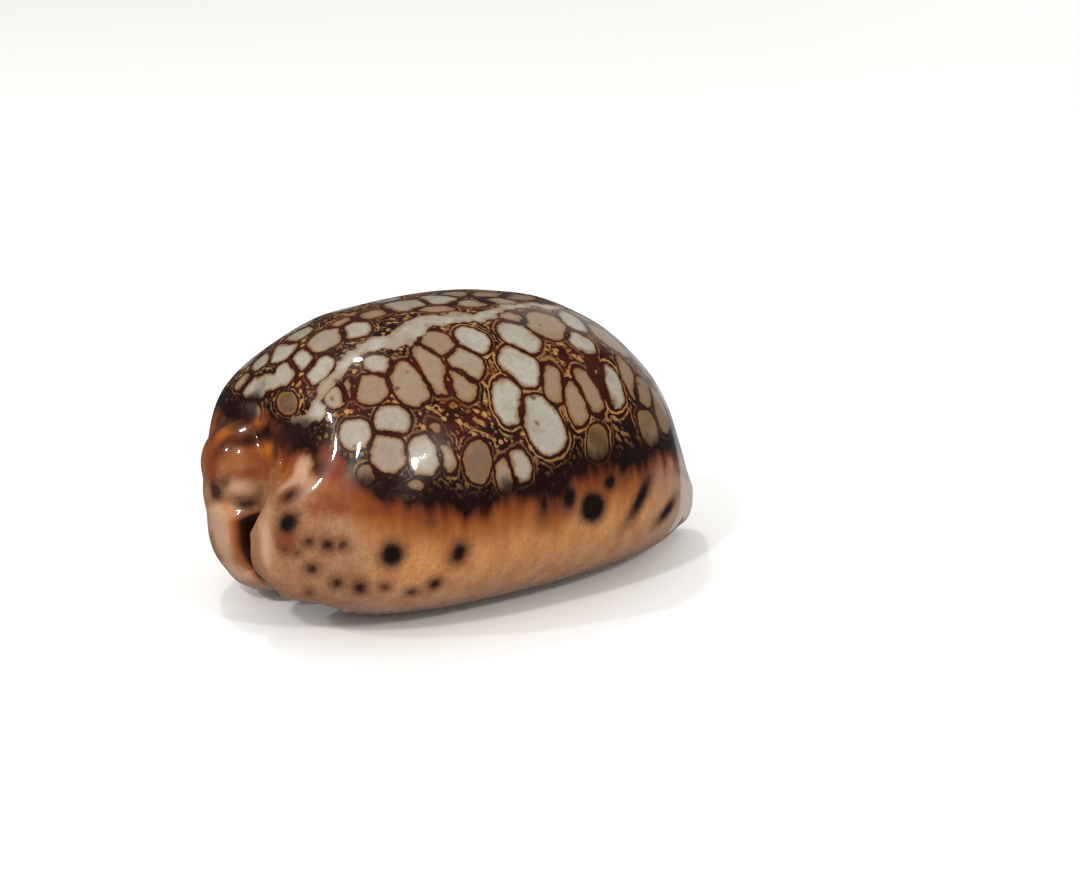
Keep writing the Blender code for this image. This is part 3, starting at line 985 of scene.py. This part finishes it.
def flecks(places, scale):
    """Distance to the nearest of scattered points, and a number of its own for each of them."""
    made = nodes.new("ShaderNodeTexVoronoi")
    feed(made.inputs["Vector"], places)
    made.inputs["Scale"].default_value = scale
    made.inputs["Randomness"].default_value = 1.0
    split = nodes.new("ShaderNodeSeparateColor")
    links.new(made.outputs["Color"], split.inputs[0])
    return made.outputs["Distance"], split.outputs[0]


cell_fields = (*kept("cells_a"), *kept("cells_b"))
tone, ring_share, orange_apart = kept("cell_look")
mantle_apart, over_edge, spot_apart = kept("marks")
side, inside, tooth = kept("places")
rust_apart, pale_apart, dark_stain_and_shade_apart = kept("stains_and_shade")
plain = stretched(1.0, 1.0, 1.0)
station, _, table_height = parts(plain)

# How far a place is from the nearest cell and from the next, which gives the lines between cells that touch.
wobble = wavering(plain, *WOBBLE)
fine_wobble = wavering(plain, *FINE_WOBBLE)
nearest_cell = calc("MINIMUM", cell_fields[0], cell_fields[1])
next_cell = calc("MAXIMUM", cell_fields[0], cell_fields[1])
for field in cell_fields[2:]:
    next_cell = calc("MINIMUM", next_cell, calc("MAXIMUM", nearest_cell, field))
    nearest_cell = calc("MINIMUM", nearest_cell, field)
between = calc("MULTIPLY", calc("SUBTRACT", next_cell, nearest_cell), 0.5)
line_half = patches(plain, *LINE_PATCHES, *LINE_HALF)
coarse_edge = calc("MULTIPLY", wobble, CELL_WOBBLE)
uneven_edge = calc("ADD", coarse_edge, calc("MULTIPLY", fine_wobble, CELL_FINE_WOBBLE))
open_apart = calc("ADD", calc("SUBTRACT", nearest_cell, CELL_SPREAD), uneven_edge)
line_apart = calc("ADD", calc("SUBTRACT", line_half, between), uneven_edge)
apart = calc("MAXIMUM", open_apart, line_apart)

# The net with its flecks, and with tan lines that follow the cells' outlines.
net = tint(patches(plain, *RED_PATCHES), DARK_NET, RED_NET)
net = tint(ease(over_edge, *RED_NET_HEIGHT), net, DARK_NET)
streaky = warped(warped(slanted(FLECK_SLANT, FLECK_STRETCH), *FLECK_WARP), *FLECK_FINE_WARP)
fleck_apart, fleck_number = flecks(streaky, FLECKS)
fleck = both(ease(fleck_apart, *FLECK_EDGE), ease(fleck_number, *FLECK_LEFT_OUT))
small_apart, small_number = flecks(streaky, SMALL_FLECKS)
small = both(ease(small_apart, *SMALL_FLECK_EDGE), ease(small_number, *SMALL_FLECK_LEFT_OUT))
fleck = calc("MAXIMUM", fleck, both(small, SMALL_FLECK_SHARE))
contour = both(band(apart, *CONTOUR_BAND), patches(plain, *CONTOUR_PATCHES))
fleck = calc("MAXIMUM", both(fleck, ease(apart, *FLECKS_START)), both(contour, 0.8))
fleck = both(fleck, ease(over_edge, *FLECK_HEIGHT, 0.1, 0.85))
net = tint(fleck, net, tint(patches(plain, *GOLD_PATCHES), FLECK_BROWN, GOLD))

# The cells: a tan ring, a thin brown line, a brownish rim, a pale middle and a few brown specks.
pale = tint(ease(tone, 0.0, 0.5), CELL_GREY, CELL_BEIGE)
pale = tint(ease(tone, 0.55, 1.0), pale, CELL_BROWN)
pale = tint(both(patches(plain, *BEIGE_PATCHES), 0.5), pale, CELL_BEIGE)
pale = tint(patches(plain, *CELL_MOTTLE, 0.0, 0.2), pale, CELL_EDGE)
pale = tint(ease(apart, *RIM_INSIDE, 0.0, 0.85), pale, CELL_EDGE)
speck_apart, speck_number = flecks(warped(plain, *SPECK_WARP), SPECKS)
speck = both(ease(speck_apart, *SPECK_EDGE), ease(speck_number, *SPECK_LEFT_OUT))
pale = tint(both(speck, 0.8), pale, CELL_BROWN)
net = tint(both(ease(apart, *LINE_SHADE), 0.6), net, LINE_BROWN)
ring = both(both(band(open_apart, *RING_BAND), ring_share), patches(plain, *RING_PATCHES))
net = tint(ring, net, RING_TAN)
patterned = tint(ease(apart, *CELL_STARTS), net, pale)

# The band above the margins is nearly black, and the line where the mantle's edges met is pale.
drips = wavering(warped(stretched(1.0, 1.0, 0.3), *DRIP_WARP), *DRIPS)
edge_height = calc("ADD", over_edge, calc("MULTIPLY", drips, DRIP_HEIGHT))
patterned = tint(both(ease(edge_height, *DARK_BAND_HEIGHT), 0.9), patterned, DARK_NET)
mantle_edge = calc("ADD", mantle_apart, calc("MULTIPLY", wobble, MANTLE_WOBBLE))
patterned = tint(both(ease(mantle_edge, *MANTLE_OUTLINE), 0.8), patterned, LINE_BROWN)
seam = tint(patches(plain, *SEAM_PATCHES), MANTLE_PALE, CELL_GREY)
seam = tint(ease(mantle_edge, -0.8, 0.1, 0.0, 0.6), seam, CELL_EDGE)
patterned = tint(ease(mantle_edge, *MANTLE_LINE_EDGE), patterned, seam)

# The margins and the base, mottled and streaked, browner up to the net's edge.
mottle = wavering(stretched(1.0, 1.0, 0.5), *MOTTLE)
uneven_height = calc("ADD", table_height, calc("MULTIPLY", mottle, MOTTLE_HEIGHT))
margin = tint(ease(uneven_height, *TAN_TO_PINK_HEIGHT), MARGIN_TAN, MARGIN_PINK)
margin = tint(ease(station, *POSTERIOR_STATION, 0.0, 0.8), margin, POSTERIOR_GREY)
margin = tint(ease(side, *BASE_TURN), margin, BASE_CREAM)
margin = tint(patches(plain, *MARGIN_GRAIN, 0.0, 0.3), margin, MARGIN_BROWN)
cream = ease(noise(plain, *CREAM_CLOUDS), *CREAM_FROM, 0.0, 0.2)
margin = tint(cream, margin, BASE_CREAM)
streaks = patches(stretched(1.0, 1.0, 0.3), *MARGIN_STREAKS, 0.0, 0.35)
margin = tint(streaks, margin, MARGIN_BROWN)
margin = tint(ease(edge_height, *BROWN_BAND_HEIGHT), margin, MARGIN_BROWN)
margin = tint(ease(station, *ANTERIOR_STATION, 0.0, 0.8), margin, ANTERIOR_PINK)
margin = tint(both(ease(edge_height, *ORANGE_BAND_HEIGHT), 0.9), margin, EDGE_ORANGE)
colour = tint(ease(edge_height, *NET_STARTS), margin, patterned)

# Stains over the knob, the shoulder and the canal's lips, the dark ones partly painted shade in the crease
# round the knob and at the canal's entrance, and the margins' spots with their brown halos.
blur = calc("MULTIPLY", wobble, 2.0)
stain_and_shade_layers = (
    (pale_apart, PALE_CALLUS),
    (rust_apart, RUST),
    (orange_apart, ORANGE),
    (dark_stain_and_shade_apart, STAIN_AND_SHADE_DARK),
)
for layer_apart, shade in stain_and_shade_layers:
    colour = tint(ease(calc("ADD", layer_apart, blur), *STAIN_EDGE, 0.0, 0.86), colour, shade)
spot_edge = calc("ADD", spot_apart, calc("MULTIPLY", fine_wobble, 0.5))
halo = both(ease(spot_edge, *HALO_EDGE, 0.0, 0.85), ease(edge_height, 1.0, -2.0))
colour = tint(halo, colour, SPOT_BROWN)
colour = tint(ease(spot_edge, *SPOT_EDGE, 0.0, 0.98), colour, SPOT_BLACK)

# The brown teeth, the canals' orange lips, and the inside, lilac, with painted shade deep in by the spire.
colour = tint(both(tooth, 0.8), colour, TOOTH_BROWN)
colour = tint(inside, colour, CANAL_ORANGE)
# Deep inside by the spire the colour is painted shade; further on it is lilac.
lilac_and_painted_shade = tint(ease(station, *SHADE_TO_LILAC_STATION), CANAL_PAINTED_SHADE, INSIDE_LILAC)
colour = tint(ease(inside, 0.5, 1.0), colour, lilac_and_painted_shade)
feed(glaze.inputs["Base Color"], colour)

roughest = GLAZE_ROUGHNESS + GLAZE_ROUGHNESS_SPREAD
feed(glaze.inputs["Roughness"], patches(plain, *GLAZE_PATCHES, GLAZE_ROUGHNESS, roughest))
glaze.inputs["Specular IOR Level"].default_value = SPECULAR_LEVEL
glaze.inputs["Coat Weight"].default_value = COAT_WEIGHT
glaze.inputs["Coat Roughness"].default_value = COAT_ROUGHNESS
bump = nodes.new("ShaderNodeBump")
bump.inputs["Strength"].default_value = BUMP_STRENGTH
bump.inputs["Distance"].default_value = BUMP_HEIGHT * MM
feed(bump.inputs["Height"], noise(plain, *GLAZE_GRAIN))
links.new(bump.outputs["Normal"], glaze.inputs["Normal"])

shell.data.materials.clear()
shell.data.materials.append(material)
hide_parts("shell")
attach(shell, "root")


# The studio
# A plain pale floor, a white surround that the glaze mirrors only dimly, four small soft lamps for its
# highlights, and a tall panel that draws a pale rim on the anterior end. The glaze doesn't mirror the floor.

FLOOR_COLOUR = (0.86, 0.85, 0.83)
FLOOR_ROUGHNESS = 0.6
FLOOR_SIZE = 3.0
FLOOR_DROP = 0.05 * MM
SURROUND = 0.9
SURROUND_IN_GLAZE = 0.08
LAMP_DISTANCE = 0.6
# Lamps: name, azimuth and elevation in degrees, width and height in metres, and power in watts.
LAMPS = (
    ("left lamp", -98.0, 34.0, 0.025, 0.04, 0.7),
    ("left front lamp", -60.0, 42.0, 0.035, 0.07, 1.2),
    ("front lamp", 2.0, 34.0, 0.038, 0.06, 1.1),
    ("top lamp", -172.0, 71.0, 0.06, 0.06, 0.8),
    ("rim panel", 124.0, 6.0, 0.28, 0.9, 0.32),
)

bpy.ops.object.select_all(action="DESELECT")
bpy.ops.mesh.primitive_plane_add(size=FLOOR_SIZE, location=(0.0, 0.0, -FLOOR_DROP))
floor = bpy.context.object
floor.name = "floor"
paper = bpy.data.materials.new("pale paper")
paper.use_nodes = True
paper_finish = paper.node_tree.nodes["Principled BSDF"]
paper_finish.inputs["Base Color"].default_value = (*FLOOR_COLOUR, 1.0)
paper_finish.inputs["Roughness"].default_value = FLOOR_ROUGHNESS
floor.data.materials.append(paper)
floor.visible_glossy = False

for name, azimuth, elevation, width, height, power in LAMPS:
    turn, rise = math.radians(azimuth), math.radians(elevation)
    way = Vector((math.sin(turn) * math.cos(rise), -math.cos(turn) * math.cos(rise), math.sin(rise)))
    bpy.ops.object.light_add(type="AREA", location=VIEW_AIM + way * LAMP_DISTANCE)
    lamp = bpy.context.object
    lamp.name = name
    lamp.data.shape = "ELLIPSE"
    lamp.data.size = width
    lamp.data.size_y = height
    lamp.data.energy = power
    lamp.rotation_euler = (-way).to_track_quat("-Z", "Y").to_euler()

world = bpy.data.worlds.new("studio surround")
world.use_nodes = True
backdrop = world.node_tree.nodes["Background"]
backdrop.inputs["Color"].default_value = (1.0, 1.0, 1.0, 1.0)
light_path = world.node_tree.nodes.new("ShaderNodeLightPath")
dimmed = world.node_tree.nodes.new("ShaderNodeMapRange")
dimmed.inputs["To Min"].default_value = SURROUND
dimmed.inputs["To Max"].default_value = SURROUND_IN_GLAZE
world.node_tree.links.new(light_path.outputs["Is Glossy Ray"], dimmed.inputs["Value"])
world.node_tree.links.new(dimmed.outputs["Result"], backdrop.inputs["Strength"])
bpy.context.scene.world = world
bpy.context.scene.view_settings.view_transform = "Standard"
